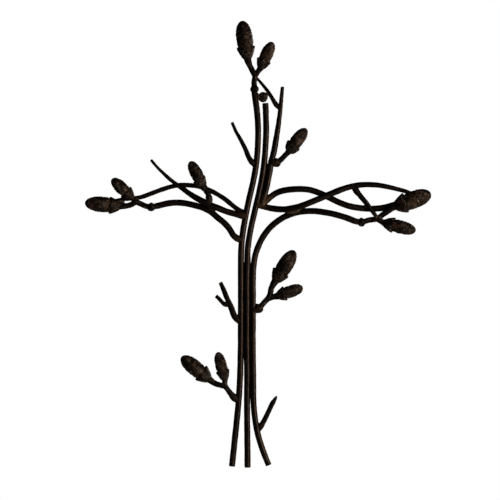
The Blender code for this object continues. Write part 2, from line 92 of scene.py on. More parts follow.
def spline(controls):
    """Close points on a natural cubic spline through the control points.

    Its bends at the control points solve the rows that make slope and bend run on through each;
    between two of them the line is their cubic blend.
    """
    spacing = 0.00025
    knots = lengths_along(controls)
    steps = np.diff(knots)
    count = len(controls)
    matrix = np.eye(count)
    right = np.zeros_like(controls)
    for i in range(1, count - 1):
        matrix[i, i - 1:i + 2] = steps[i - 1], 2 * (steps[i - 1] + steps[i]), steps[i]
        right[i] = 6 * ((controls[i + 1] - controls[i]) / steps[i]
                        - (controls[i] - controls[i - 1]) / steps[i - 1])
    bends = np.linalg.solve(matrix, right)
    along = np.linspace(0.0, knots[-1], max(8, int(knots[-1] / spacing)))
    part = np.clip(np.searchsorted(knots, along, side="right") - 1, 0, count - 2)
    width = steps[part][:, None]
    after = (along - knots[part])[:, None] / width
    before = 1.0 - after
    return (before * controls[part] + after * controls[part + 1]
            + width ** 2 / 6 * ((before ** 3 - before) * bends[part]
                                + (after ** 3 - after) * bends[part + 1]))


class Path:
    """A centre line as close points, with the radius and the share of weld metal at each."""

    def __init__(self, points, radii, weld=None):
        self.points = points
        self.radii = radii
        self.weld = np.zeros(len(points)) if weld is None else weld

    def index_at(self, z):
        """The number of the point nearest to a drawn height."""
        return np.argmin(np.abs(self.points[:, 2] - z * MM))

    def at_height(self, z, lift=0.0):
        """The point at a drawn height, moved by a lift."""
        return self.points[self.index_at(z)] - TOWARDS_WALL * lift * LAYER

    def at_width(self, x):
        """The point at a drawn distance to the right of the boss."""
        return self.points[np.argmin(np.abs(self.points[:, 0] - x * MM))]

    def beside(self, rows):
        """Points for a bar to the right of this one, by rows of height and drawn distance apart."""
        found = []
        for z, spread in rows:
            nearest = np.clip(self.index_at(z), 1, len(self.points) - 2)
            along = unit(self.points[nearest + 1] - self.points[nearest - 1])
            across = unit(np.array([abs(along[2]), 0.0, -along[0] * np.sign(along[2])]))
            found.append(self.points[nearest] + across * (ROD + TOUCHING + spread * MM))
        return found

    def swollen(self, middle, radius, reach):
        """The same line with a knot: a parabola of the distance from a point, up to a radius."""
        away = np.linalg.norm(self.points - middle, axis=1) / reach
        swelling = np.clip(1.0 - away ** 2, 0.0, 1.0)
        return Path(self.points, self.radii + (radius - self.radii) * swelling, self.weld)

    def welded_to(self, other, swell=0.0010, reach=0.0032, metal=0.35):
        """The same line with a fillet of weld metal where it leaves another bar.

        The fillet is a bell of the distance from the place where the two skins part, swell high
        and reach wide; metal is the share of weld metal that shows there.
        """
        searched = 0.030
        sunk = 0.55
        metal_reach = 1.6 * reach
        from_start = lengths_along(self.points)
        near = from_start < searched
        gaps = np.linalg.norm(self.points[near][:, None] - other.points[None, ::4], axis=2).min(axis=1)
        clear = gaps > np.median(other.radii) + sunk * self.radii[near]
        spots = from_start[near][clear]
        parting = spots.min() if len(spots) else searched / 3
        past = from_start - parting
        bell = np.exp(-(past / reach) ** 2)
        weld = metal * np.where(past < 0.0, 1.0, np.exp(-(past / metal_reach) ** 2))
        return Path(self.points, self.radii + swell * bell, np.maximum(self.weld, weld))


def bar(controls, taper):
    """A path through control points; taper gives diameters at shares of the length."""
    points = spline(np.array(controls))
    along = lengths_along(points)
    shares, diameters = zip(*taper)
    return Path(points, np.interp(along / along[-1], shares, diameters) / 2)


# Skins

def around(sides):
    """Angles all the way round, as many as there are sides."""
    return np.linspace(0.0, 2 * math.pi, sides, endpoint=False)


def wrapped(radius, turn, height):
    """Points at a radius and a turn about an axis, and at a height along it."""
    return np.stack(np.broadcast_arrays(radius * np.cos(turn), radius * np.sin(turn), height), axis=-1)


def waves(points, size, seed, count=14):
    """Smooth unevenness, mostly within -1 to 1: a sum of cosines that run in drawn directions."""
    draw = np.random.default_rng(seed)
    ways = unit(draw.normal(size=(count, 3))) * (2 * math.pi / size)
    ways = ways * draw.uniform(0.6, 1.5, (count, 1))
    phases = draw.uniform(0.0, 2 * math.pi, count)
    return np.cos(points @ ways.T + phases).sum(axis=-1) / (1.6 * math.sqrt(count / 2))


class Skin:
    """Corners, quads and triangles, with what the finishes read at each corner.

    grain is the place on a straightened bar, in metres; weld is the share of weld metal; relief
    is the height of the fine relief, from 0 in the hollows to 1 on the ridges; along the cups' rims
    it is raised further, for a painted highlight.
    """

    def __init__(self, corners, quads, triangles, grain, weld, relief):
        self.corners = corners
        self.quads = quads
        self.triangles = triangles
        self.grain = grain
        self.weld = weld
        self.relief = relief


def closed(rings, first_pole, last_pole, grain, weld, relief):
    """A skin over rings of points, joined in their order and closed by a pole at each end.

    Seen from the last ring the points run anticlockwise, so that the faces point outwards.
    """
    rows, sides, _ = rings.shape
    side = np.arange(sides)
    after = (side + 1) % sides
    row = np.arange(rows - 1)[:, None] * sides
    quads = np.stack([row + side, row + after, row + sides + after, row + sides + side], axis=-1)
    end = rows * sides
    last = end - sides
    triangles = np.concatenate([
        np.stack([np.full(sides, end), after, side], axis=-1),
        np.stack([np.full(sides, end + 1), last + side, last + after], axis=-1)])

    def spread(values):
        """Values at the corners, with those of the poles taken from the end rings."""
        flat = values.reshape(rows * sides, -1)
        return np.concatenate([flat, [values[0].reshape(sides, -1).mean(axis=0)],
                               [values[-1].reshape(sides, -1).mean(axis=0)]])

    corners = np.concatenate([rings.reshape(-1, 3), [first_pole], [last_pole]])
    return Skin(corners, quads.reshape(-1, 4), triangles, spread(grain),
                spread(weld).ravel(), spread(relief).ravel())


def swept(path, seed, sides=20, step=0.0009, uneven=0.00007, fine=0.00002, bark=0.0, chamfer=0.0004):
    """A round bar: a circle carried along the path, a little uneven, with chamfered cut ends.

    The radius at a length and a turn is the path's, plus the coat, plus low waves from the
    forging, plus ridges of bark that run along the bar, plus the lumps of the weld metal.
    """
    bark_stretch = np.array([1.0, 1.0, 0.22])
    weld_lump = 0.00030
    end_ring = 0.5
    count = len(path.points)
    along = lengths_along(path.points)
    stride = max(1, int(step / (along[-1] / count)))
    inner = np.arange(stride, count - 1 - stride // 2, stride)
    index = np.concatenate([[0, 0, 0], inner, [count - 1] * 3])
    tangents = unit(np.gradient(path.points, axis=0))[index]
    low = min(chamfer, path.radii[0] * 0.4)
    high = min(chamfer, path.radii[-1] * 0.4)
    offset = np.concatenate([[0.0, 0.0, low], np.zeros(len(inner)), [-high, 0.0, 0.0]])
    scale = np.concatenate([[end_ring, 1.0 - low / path.radii[0], 1.0], np.ones(len(inner)),
                            [1.0, 1.0 - high / path.radii[-1], end_ring]])
    centres = path.points[index] + tangents * offset[:, None]
    radii = (path.radii[index] * scale)[:, None]
    weld = np.repeat(path.weld[index][:, None], sides, axis=1)
    across = unit(np.cross(TOWARDS_WALL, tangents))
    up = np.cross(tangents, across)
    turn = around(sides)
    grain = wrapped(radii, turn, (along[index] + offset)[:, None])
    dents = waves(grain, 0.003, seed + 1)
    ridges = waves(grain * bark_stretch, 0.0016, seed + 2)
    lumps = waves(grain, 0.0026, seed + 3)
    height = (uneven * waves(grain, 0.012, seed) + fine * dents
              + bark * ridges + weld_lump * weld * lumps)
    reach = radii + (COAT + height) * scale[:, None]
    rings = (centres[:, None] + reach[..., None]
             * (across[:, None] * np.cos(turn)[:, None] + up[:, None] * np.sin(turn)[:, None]))
    pattern = ridges if bark > 0.0 else dents
    relief = np.clip(0.5 + 0.4 * pattern * (1 - weld) + 0.5 * weld * lumps, 0.0, 1.0)
    return closed(rings, path.points[0], path.points[-1], grain, weld, relief)


def bead(middle, along, size, seed, rows=22, sides=28):
    """A lump of weld metal: a ball stretched to a length, breadth and depth, with uneven skin."""
    unevenness = 0.13
    along = unit(np.array(along, dtype=float))
    across = unit(np.cross(TOWARDS_WALL, along))
    depth = np.cross(along, across)
    rise = (np.linspace(-1.0, 1.0, rows + 2)[1:-1] * math.pi / 2)[:, None]
    half = np.array([size[1], size[2], size[0]]) / 2 * MM
    grain = wrapped(np.cos(rise), around(sides), np.sin(rise)) * half
    lumps = waves(grain, 0.0030, seed) + 0.5 * waves(grain, 0.0013, seed + 1)
    grain = grain * (1.0 + unevenness * lumps[..., None])
    rings = middle + grain @ np.stack([across, depth, along])
    poles = [middle - along * half[2], middle + along * half[2]]
    relief = np.clip(0.5 + 0.45 * lumps, 0.0, 1.0)
    return closed(rings, *poles, grain, np.ones_like(lumps), relief)


def bud_radius(share):
    """A bud's radius at a share of its length: a parabola up to the middle, then a blunt dome."""
    middle = 0.5
    foot_depth = 0.62
    dome_power = 2.4
    below = 1.0 - (np.clip(middle - share, 0.0, None) / foot_depth) ** 2
    towards_tip = np.clip(share - middle, 0.0, None) / (1.0 - middle)
    above = np.sqrt(np.clip(1.0 - towards_tip ** dome_power, 0.0, None))
    return np.where(share < middle, below, above)


def catkin_frame(base, tip):
    """The right, the back and the length of a catkin, as its own axes."""
    along = unit(tip - base)
    right = unit(np.cross(TOWARDS_WALL, along))
    return np.stack([right, np.cross(along, right), along])


def bud(base, tip, widest, seed, rows=112, sides=120):
    """The furry body: tufts in staggered rows, each rising towards its tip, with finer hair.

    Rows of tufts follow the length and the turn, and are shifted by half a tuft in every other
    row; waves of the two coordinates keep them from lying in straight lines. The skin stands off
    bud_radius by the tufts, broader swellings and the hair, which all fade out at the tip.
    """
    tufts_round = 22
    tuft_length = 0.0027
    tuft_height = 0.00050
    patch_height = 0.00018
    hair_height = 0.00012
    hair_stretch = np.array([1.0, 1.0, 0.28])
    row_wander = 0.00075
    turn_wander = 0.10
    first_share = 0.10
    length = np.linalg.norm(tip - base)
    step = np.linspace(0.0, 1.0, rows)
    share = (first_share + 0.90 * np.sin(step * math.pi / 2) ** 0.9)[:, None]
    share[-1] = 0.9985
    turn = around(sides)
    radius = widest * bud_radius(share)
    flat = wrapped(radius, turn, share * length)
    run = (share * length + row_wander * waves(flat, 0.0065, seed)) / tuft_length
    row_number = np.floor(run)
    lean = turn + turn_wander * waves(flat, 0.0060, seed + 1)
    column = lean / (2 * math.pi) * tufts_round + 0.5 * (row_number % 2)
    side_share = np.abs(column - np.floor(column) - 0.5) * 2
    rise = run - row_number
    tuft = rise ** 0.8 * (1.0 - side_share ** 2) * (1.0 - rise ** 9)
    patches = waves(flat, 0.0055, seed + 2)
    hair = waves(flat * hair_stretch, 0.0011, seed + 3, 20)
    height = tuft_height * (tuft - 0.4) + patch_height * patches + hair_height * hair
    height = height * np.clip(radius / widest * 1.6, 0.0, 1.0)
    rings = flat + height[..., None] * wrapped(1.0, turn, 0.0)
    axes = catkin_frame(base, tip)
    relief = np.clip(0.21 + 0.50 * tuft + 0.29 * patches + 0.15 * hair, 0.0, 1.0)
    poles = [base + axes[2] * first_share * length, base + axes[2] * length]
    return closed(base + rings @ axes, *poles, flat, 0 * tuft, relief)


def cup(base, tip, widest, ears, bluntness, seed, rows=34, sides=144):
    """The calyx: a flaring wall with four pointed scales, ribbed, which turns in over its rim.

    Heights are shares of the catkin's length. ears gives the height and the spread of the right
    and of the left scale; spread is in times the bud's widest radius. The rim is at the scales'
    height at the quarters of the turn and falls away between them. The wall's radius grows from
    the throat as the power bluntness of the height, rounds off at the rim, and is never less than
    the bud inside it; past the rim the surface goes back down just inside the bud. Along the top of
    the rim the relief is raised, which paints a highlight there in the ridge colour.
    """
    front_height, front_spread = 0.300, 1.07
    rim_dip = 0.075
    sunk = 0.05
    throat = 0.0036
    rounded = 0.16
    off_bud = 0.0004
    inside_bud = 0.0003
    rib_count = 20
    rib_height = 0.00013
    pit_height = 0.00012
    inner_pole = 0.14
    length = np.linalg.norm(tip - base)
    turn = around(sides)
    circle = wrapped(1.0, turn, 0.0)
    right = np.clip(np.cos(turn), 0.0, 1.0) ** 2
    left = np.clip(-np.cos(turn), 0.0, 1.0) ** 2
    (right_height, right_spread), (left_height, left_spread) = ears
    top = front_height + (right_height - front_height) * right + (left_height - front_height) * left
    spread = front_spread + (right_spread - front_spread) * right + (left_spread - front_spread) * left
    quarter = np.abs((turn / (math.pi / 2) + 0.5) % 1.0 - 0.5) * 2
    rim = top - rim_dip * quarter ** 1.25 + 0.005 * waves(circle, 0.55, seed)
    outside = np.linspace(0.0, 1.0, rows)
    rise = np.concatenate([outside, outside[::-1][:rows // 2]])[:, None]
    inward = np.concatenate([np.zeros(rows), np.ones(rows // 2)])[:, None]
    height = -sunk + (rim + sunk) * rise
    share = np.clip(height, 0.0, 1.0)
    opened = throat + (widest * spread - throat) * (share / top) ** bluntness
    body = widest * bud_radius(share)
    shoulder = np.clip(rise - (1.0 - rounded), 0.0, None) / rounded
    opened = opened - 0.5 * np.clip(opened - body, 0.0, None) * shoulder ** 2
    held = np.maximum(opened, body * 1.02 + off_bud)
    held = np.where(height < 0.0, throat * (1.0 + height * 3.0), held)
    ribs = np.cos(turn * rib_count + 1.5 * waves(circle, 1.6, seed + 1))
    flat = wrapped(held, turn, height * length)
    pits = waves(flat, 0.0021, seed + 2)
    fade = np.clip(rise * 3.0, 0.0, 1.0)
    lift = (rib_height * ribs * fade + pit_height * pits) * (1 - inward)
    reach = held + lift - inward * (held - body + inside_bud)
    rings = wrapped(reach, turn, height * length)
    axes = catkin_frame(base, tip)
    # The top of the rim, past 0.94 of the rise, gets 0.35 more relief; it only lightens the colour
    # towards the ridge colour, as a painted highlight along the rim.
    relief = np.clip(0.42 + 0.32 * ribs * fade + 0.32 * pits + 0.35 * (rise > 0.94), 0.0, 1.0)
    poles = [base - axes[2] * sunk * length, base + axes[2] * inner_pole * length]
    return closed(base + rings @ axes, *poles, flat, 0 * relief, relief)


def turned(profile, seed, sides=72):
    """A piece that stands out from the wall: a profile of radius and distance, turned about it."""
    radius, distance = np.array(profile).T[..., None]
    turn = around(sides)
    flat = wrapped(radius, turn, distance)
    dents = waves(flat, 0.0035, seed)
    reach = radius * (1.0 + 0.008 * dents)
    rings = np.stack([reach * np.cos(turn), -flat[..., 2], reach * np.sin(turn)], axis=-1)
    poles = [-TOWARDS_WALL * distance[0], -TOWARDS_WALL * distance[-1]]
    relief = np.clip(0.5 + 0.4 * dents, 0.0, 1.0)
    return closed(rings, *poles, flat, 0 * dents, relief)


# Finishes

def new_group(name, inputs, outputs):
    """A shader node group with named sockets, and its input and output nodes."""
    group = bpy.data.node_groups.new(name, "ShaderNodeTree")
    for label, kind, value in inputs:
        socket = group.interface.new_socket(name=label, in_out="INPUT", socket_type=f"NodeSocket{kind}")
        if value is not None:
            socket.default_value = value
    for label, kind in outputs:
        group.interface.new_socket(name=label, in_out="OUTPUT", socket_type=f"NodeSocket{kind}")
    return group, group.nodes.new("NodeGroupInput"), group.nodes.new("NodeGroupOutput")


def node(tree, kind, **settings):
    """A node with its properties set; a name that is no property sets the input of that name."""
    made = tree.nodes.new(f"ShaderNode{kind}")
    for label, value in settings.items():
        if hasattr(made, label):
            setattr(made, label, value)
        else:
            made.inputs[label.replace("_", " ")].default_value = value
    return made


def feed(tree, socket, value):
    """An input given its value: linked where the value is another node's output, set otherwise."""
    if isinstance(value, bpy.types.NodeSocket):
        tree.links.new(value, socket)
    else:
        socket.default_value = value


def math_node(tree, operation, first, second, clamp=False):
    """A Math node on two values, each a socket or a number; gives its output."""
    made = node(tree, "Math", operation=operation, use_clamp=clamp)
    feed(tree, made.inputs[0], first)
    feed(tree, made.inputs[1], second)
    return made.outputs[0]


def mixed(tree, share, first, second):
    """A colour between two, each a socket or a colour; gives its output."""
    made = node(tree, "Mix", data_type="RGBA")
    for number, value in ((0, share), (6, first), (7, second)):
        feed(tree, made.inputs[number], value)
    return made.outputs[2]


def ranged(tree, value, low, high, new_low=0.0, new_high=1.0):
    """A value's range moved to another by a smooth step, clamped; gives its output."""
    made = node(tree, "MapRange", interpolation_type="SMOOTHSTEP",
                From_Min=low, From_Max=high, To_Min=new_low, To_Max=new_high)
    tree.links.new(value, made.inputs["Value"])
    return made.outputs[0]


def build_mottle_group():
    """The pattern of the patina: four values that change from place to place.

    Patches tells thick patina from thin, Tints brown from grey where it is thin, Grain is fine
    noise for the height, and the fourth value marks small round spots in some cells of a cell
    pattern, where the finishes paint glints.
    """
    group, given, result = new_group("patina_mottle", [
        ("Vector", "Vector", None), ("Patch Scale", "Float", 120.0)],
        [("Patches", "Float"), ("Tints", "Float"), ("Grain", "Float"), ("Glints", "Float")])
    link = group.links.new
    large = node(group, "TexNoise", Detail=5.0, Roughness=0.62)
    tints = node(group, "TexNoise", Scale=210.0, Detail=2.0, Roughness=0.5)
    small = node(group, "TexNoise", Scale=1500.0, Detail=3.0, Roughness=0.6)
    cells = node(group, "TexVoronoi", Scale=360.0)
    for pattern in (large, tints, small, cells):
        link(given.outputs["Vector"], pattern.inputs["Vector"])
    link(given.outputs["Patch Scale"], large.inputs["Scale"])
    # Small round spots in some cells: where the finishes paint glints into the colour.
    glint_spots = ranged(group, cells.outputs["Distance"], 0.06, 0.20, 1.0, 0.0)
    chosen = ranged(group, cells.outputs["Color"], 0.66, 0.72)
    link(ranged(group, large.outputs["Fac"], 0.36, 0.66), result.inputs["Patches"])
    link(ranged(group, tints.outputs["Fac"], 0.43, 0.57), result.inputs["Tints"])
    link(small.outputs["Fac"], result.inputs["Grain"])
    link(math_node(group, "MULTIPLY", glint_spots, chosen), result.inputs["Glints"])


def build_wear_group():
    """The patina rubbed thin on ridges and left thick in hollows, from the relief of the skin."""
    group, given, result = new_group("rubbed_ridges", [
        ("Base", "Color", None), ("Hollow", "Color", None), ("Ridge", "Color", None),
        ("Relief", "Float", 0.5), ("Patches", "Float", 0.5), ("Strength", "Float", 0.6)],
        [("Color", "Color")])
    hollows = ranged(group, given.outputs["Relief"], 0.10, 0.45, 1.0, 0.0)
    # On the cups' rims the relief is raised for a painted highlight, so the ridge colour there is
    # painted light, not wear.
    ridges = ranged(group, given.outputs["Relief"], 0.55, 0.95)
    worn = math_node(group, "MULTIPLY", ridges, given.outputs["Patches"])
    worn = math_node(group, "MULTIPLY", worn, given.outputs["Strength"])
    dark = mixed(group, hollows, given.outputs["Base"], given.outputs["Hollow"])
    group.links.new(mixed(group, worn, dark, given.outputs["Ridge"]), result.inputs["Color"])


def attribute(tree, name, output):
    """An output of a node that reads an attribute of the skin."""
    return node(tree, "Attribute", attribute_name=name).outputs[output]


def bronze(name, dark, brown, grey, hollow, ridge, glint_colour, weld_colour, patch_scale, streaks,
           roughness, metallic, gloss, bump, wear_and_glints):
    """A dark patina on cast or drawn metal.

    Dark patina mixes in patches with a thinner one, which is reddish brown in some places and grey
    in others; ridges are rubbed, hollows are deep, and weld metal is a warmer brown and duller.
    Small pale specks in the colour are painted glints.
    patch_scale is the number of patches in a metre, streaks the share of it along a bar, gloss the
    specular level, bump the strength of the fine grain, and the last setting that of the rubbed
    ridges and of the painted glints.
    """
    warm_sheen = (1.0, 0.72, 0.56, 1.0)
    shift_share = 0.15
    grain_depth = 0.0004
    material = bpy.data.materials.new(name)
    material.use_nodes = True
    tree = material.node_tree
    link = tree.links.new
    shader = tree.nodes["Principled BSDF"]
    shader.inputs["Specular IOR Level"].default_value = gloss
    shader.inputs["Specular Tint"].default_value = warm_sheen
    stretch = node(tree, "Mapping", Scale=(1.0, 1.0, streaks))
    link(attribute(tree, "grain", "Vector"), stretch.inputs["Vector"])
    shift = node(tree, "VectorMath", operation="SCALE", Scale=shift_share)
    link(node(tree, "TexCoord").outputs["Object"], shift.inputs[0])
    spot = node(tree, "VectorMath", operation="ADD")
    link(stretch.outputs["Vector"], spot.inputs[0])
    link(shift.outputs["Vector"], spot.inputs[1])
    mottle = node(tree, "Group", node_tree=bpy.data.node_groups["patina_mottle"],
                  Patch_Scale=patch_scale)
    link(spot.outputs["Vector"], mottle.inputs["Vector"])
    weld = attribute(tree, "weld", "Fac")
    relief = attribute(tree, "relief", "Fac")
    thin = mixed(tree, mottle.outputs["Tints"], (*brown, 1.0), (*grey, 1.0))
    base = mixed(tree, mottle.outputs["Patches"], (*dark, 1.0), thin)
    weld_spots = ranged(tree, mottle.outputs["Grain"], 0.35, 0.65, 0.45, 1.0)
    base = mixed(tree, math_node(tree, "MULTIPLY", weld, weld_spots), base, (*weld_colour, 1.0))
    rubbed = node(tree, "Group", node_tree=bpy.data.node_groups["rubbed_ridges"],
                  Hollow=(*hollow, 1.0), Ridge=(*ridge, 1.0), Strength=wear_and_glints)
    link(base, rubbed.inputs["Base"])
    link(relief, rubbed.inputs["Relief"])
    link(mottle.outputs["Patches"], rubbed.inputs["Patches"])
    # Pale specks mixed into the base colour: painted glints.
    speckled = mixed(tree, math_node(tree, "MULTIPLY", mottle.outputs["Glints"], wear_and_glints),
                     rubbed.outputs["Color"], (*glint_colour, 1.0))
    link(speckled, shader.inputs["Base Color"])
    dull = math_node(tree, "MULTIPLY", mottle.outputs["Patches"], 0.07)
    dull = math_node(tree, "ADD", dull, math_node(tree, "MULTIPLY", weld, 0.10))
    dull = math_node(tree, "ADD", dull, ranged(tree, mottle.outputs["Grain"], 0.3, 0.7, -0.05, 0.05))
    link(math_node(tree, "ADD", dull, roughness), shader.inputs["Roughness"])
    loss = math_node(tree, "MULTIPLY", mottle.outputs["Patches"], -0.25)
    link(math_node(tree, "ADD", loss, metallic, clamp=True), shader.inputs["Metallic"])
    grit = node(tree, "Bump", Strength=bump, Distance=grain_depth)
    height = math_node(tree, "ADD", mottle.outputs["Grain"],
                       math_node(tree, "MULTIPLY", mottle.outputs["Patches"], 0.8))
    link(height, grit.inputs["Height"])
    link(grit.outputs["Normal"], shader.inputs["Normal"])
    return material


build_mottle_group()
build_wear_group()
DRAWN_BRONZE = bronze(
    "patinated_bar", dark=(0.0014, 0.0010, 0.0007), brown=(0.0084, 0.0044, 0.0025),
    grey=(0.0056, 0.0047, 0.0040), hollow=(0.0010, 0.0007, 0.0005),
    ridge=(0.028, 0.020, 0.014), glint_colour=(0.085, 0.062, 0.045),
    weld_colour=(0.085, 0.050, 0.027), patch_scale=130.0, streaks=0.30, roughness=0.34,
    metallic=0.36, gloss=0.21, bump=0.20, wear_and_glints=0.50)
CAST_BRONZE = bronze(
    "patinated_casting", dark=(0.0048, 0.0036, 0.0028), brown=(0.038, 0.0178, 0.0085),
    grey=(0.023, 0.0190, 0.0165), hollow=(0.0010, 0.0007, 0.0006),
    ridge=(0.132, 0.108, 0.090), glint_colour=(0.30, 0.25, 0.21),
    weld_colour=(0.060, 0.035, 0.019), patch_scale=190.0, streaks=0.55, roughness=0.45,
    metallic=0.40, gloss=0.27, bump=0.55, wear_and_glints=0.80)
STEM_BRONZE = bronze(
    "patinated_stem", dark=(0.0014, 0.0010, 0.0007), brown=(0.0105, 0.0054, 0.0029),
    grey=(0.0062, 0.0053, 0.0046), hollow=(0.0008, 0.0006, 0.0004),
    ridge=(0.125, 0.092, 0.067), glint_colour=(0.24, 0.18, 0.14),
    weld_colour=(0.050, 0.030, 0.017), patch_scale=190.0, streaks=0.55, roughness=0.42,
    metallic=0.38, gloss=0.13, bump=0.55, wear_and_glints=0.70)
TWIG_BRONZE = bronze(
    "patinated_twig", dark=(0.0010, 0.0007, 0.0005), brown=(0.0058, 0.0033, 0.0019),
    grey=(0.0040, 0.0034, 0.0029), hollow=(0.0008, 0.0006, 0.0004),
    ridge=(0.030, 0.022, 0.016), glint_colour=(0.085, 0.062, 0.045),
    weld_colour=(0.050, 0.030, 0.017), patch_scale=130.0, streaks=0.30, roughness=0.36,
    metallic=0.30, gloss=0.10, bump=0.20, wear_and_glints=0.50)
FURRY_BRONZE = bronze(
    "patinated_fur", dark=(0.0040, 0.0028, 0.0020), brown=(0.072, 0.0325, 0.0135),
    grey=(0.044, 0.0335, 0.0255), hollow=(0.0009, 0.0007, 0.0005),
    ridge=(0.160, 0.126, 0.102), glint_colour=(0.66, 0.56, 0.46),
    weld_colour=(0.060, 0.035, 0.019), patch_scale=150.0, streaks=0.60, roughness=0.46,
    metallic=0.35, gloss=0.27, bump=0.60, wear_and_glints=0.70)


# Pieces

def piece(name, skins, nodes):
    """One object of several closed skins, each with its finish, that stands for the given nodes."""
    corners = []
    faces = []
    finishes = []
    materials = []
    first = 0
    for skin, material in skins:
        if material not in materials:
            materials.append(material)
        corners.append(skin.corners)
        faces += (skin.quads + first).tolist() + (skin.triangles + first).tolist()
        finishes += [materials.index(material)] * (len(skin.quads) + len(skin.triangles))
        first += len(skin.corners)
    mesh = bpy.data.meshes.new(name)
    mesh.from_pydata(np.concatenate(corners), [], faces)
    for material in materials:
        mesh.materials.append(material)
    mesh.polygons.foreach_set("material_index", finishes)
    mesh.polygons.foreach_set("use_smooth", [True] * len(faces))
    grain = mesh.attributes.new("grain", "FLOAT_VECTOR", "POINT")
    grain.data.foreach_set("vector", np.concatenate([skin.grain for skin, _ in skins]).ravel())
    for label in ("weld", "relief"):
        values = mesh.attributes.new(label, "FLOAT", "POINT")
        values.data.foreach_set("value", np.concatenate([getattr(skin, label) for skin, _ in skins]))
    mesh.update()
    made = bpy.data.objects.new(name, mesh)
    bpy.context.scene.collection.objects.link(made)
    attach(made, "root")
    if nodes:
        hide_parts(*nodes)


def forged(name, path, seed, finish=DRAWN_BRONZE, **settings):
    """A bar or twig in its finish, in place of the node of the same name."""
    piece(f"{name}_forged", [(swept(path, seed, **settings), finish)], [name])


FULL_ROD = [(0, ROD), (1, ROD)]
TWIG_SKIN = {"uneven": 0.00012, "fine": 0.00004, "bark": 0.00004}
CAST_SKIN = {"uneven": 0.00016, "fine": 0.00006, "bark": 0.00009, "sides": 24, "step": 0.0006}

# The upright

left = bar(places([
    (-31.2, -369.5), (-27.3, -333.0), (-24.2, -301.0), (-22.7, -269.0), (-22.2, -223.0),
    (-22.2, -175.0), (-21.8, -151.0), (-19.5, -131.0), (-13.3, -99.7), (-8.5, -78.0),
    (-5.6, -55.0), (-4.9, -33.0), (-6.2, -13.2), (-(BOSS_RADIUS + GAP + ROD / 2) / MM, 0.0),
    (-8.5, 3.3)]), FULL_ROD)
under_boss = -(BOSS_RADIUS + 0.0016) / MM
top_spread = np.array([LAYER + 0.0032, 0.0, 0.0])
middle = bar([*left.beside([
    (-369.0, 9.7), (-350.0, 7.55), (-333.0, 5.5), (-303.0, 2.3), (-270.0, 0.7), (-250.0, 0.1),
    (-230.0, 0.0), (-210.0, 0.0), (-186.0, 0.0), (-178.0, 0.18), (-171.0, 0.42), (-160.0, 0.47),
    (-153.0, 0.53), (-146.0, 0.75), (-130.0, 1.35), (-80.0, 1.9), (-50.0, 1.7), (-25.0, 2.2)]),
    left.at_height(under_boss) + top_spread], FULL_ROD)
right = bar([*middle.beside([
    (-368.3, 15.2), (-350.0, 8.1), (-335.0, 4.1), (-318.0, 1.5), (-303.0, 0.4), (-290.0, 0.2),
    (-275.0, 0.0), (-260.0, 0.0), (-245.0, 0.0), (-230.0, 0.0), (-212.0, 0.0), (-194.0, 0.0),
    (-176.0, 0.0)]), *places([
        (-8.5, -162.2), (-4.1, -147.7), (6.8, -131.0), (21.2, -120.2), (36.9, -115.0),
        (48.9, -114.2), (64.9, -116.1), (80.9, -120.2), (92.9, -124.8)])], FULL_ROD)
low = bar([middle.at_height(-107.6), *places([
    (5.9, -111.0, 0.20), (17.9, -112.6, 0.50), (27.2, -111.9, 0.72), (39.2, -108.8, 0.78),
    (52.9, -103.3, 0.68), (70.9, -95.7, 0.58), (82.9, -91.2, 0.45), (94.9, -88.5, 0.36),
    (106.9, -87.9, 0.30), (118.9, -89.0, 0.25), (132.9, -92.1, 0.18), (144.9, -95.4, 0.08),
    (154.0, -99.8, 0.0)])], [(0, ROD), (0.5, ROD), (0.78, 0.0049), (1, 0.0033)])
upper = bar([low.at_width(-0.5), *reversed(middle.beside([
    (-66.0, 0.75), (-73.0, 0.70), (-81.0, 0.35), (-88.0, 0.25), (-98.0, 0.0)])), *places([
        (10.8, -55.2), (12.6, -45.2), (14.3, -35.2), (15.7, -25.2), (17.2, -13.0),
        (18.5, 0.0), (19.4, 10.1)])], [(0, ROD), (0.52, ROD), (1, 0.0033)])
high = bar([upper.at_height(-106.5), *places([
    (5.4, -101.9, 0.0), (11.8, -97.0, -0.03), (20.6, -93.7, -0.08), (31.9, -92.3, -0.2),
    (45.9, -92.9, -0.35), (58.9, -97.2, -0.42), (72.9, -104.0, -0.45), (84.9, -108.8, -0.55),
    (96.9, -111.1, -0.7), (109.9, -111.8, -0.85), (120.9, -110.8, -0.9),
    (134.0, -107.0, -0.6)])], FULL_ROD)

# The left side

arm = bar([left.at_height(-143.2), *places([
    (-27.5, -140.5), (-34.7, -130.7), (-43.9, -122.0), (-54.8, -113.5), (-68.0, -108.6),
    (-80.0, -106.2), (-94.0, -106.4), (-106.0, -109.2)])], FULL_ROD)
wave = bar([left.at_height(-117.0, -0.35), *places([
    (-26.6, -111.5, -0.5), (-38.0, -102.4, -0.55), (-50.1, -95.1, -0.55), (-60.1, -90.7, -0.55),
    (-73.1, -88.4, -0.55), (-85.1, -88.4, -0.55), (-96.9, -91.1, -0.65), (-109.1, -95.3, -0.85),
    (-121.3, -99.8, -1.05), (-131.1, -101.5, -1.08), (-139.1, -102.2, -0.95),
    (-156.0, -106.4, -0.4)])], [(0, WAVE), (0.7, WAVE), (1, 0.0032)])
twig = bar([left.at_height(-119.6, 0.35), *places([
    (-30.2, -116.6, 0.45), (-43.1, -112.2, 0.68), (-50.8, -109.0, 0.78), (-59.1, -105.2, 0.80),
    (-66.2, -101.5, 0.78), (-73.2, -97.2, 0.66), (-83.6, -89.7, 0.45), (-91.3, -84.0, 0.38),
    (-97.2, -78.9, 0.34), (-103.1, -73.2, 0.32), (-108.2, -67.8, 0.3), (-112.1, -63.0, 0.3)])],
    [(0, ROD), (0.45, ROD), (0.75, 0.0035), (1, 0.0024)])

# The thin twigs

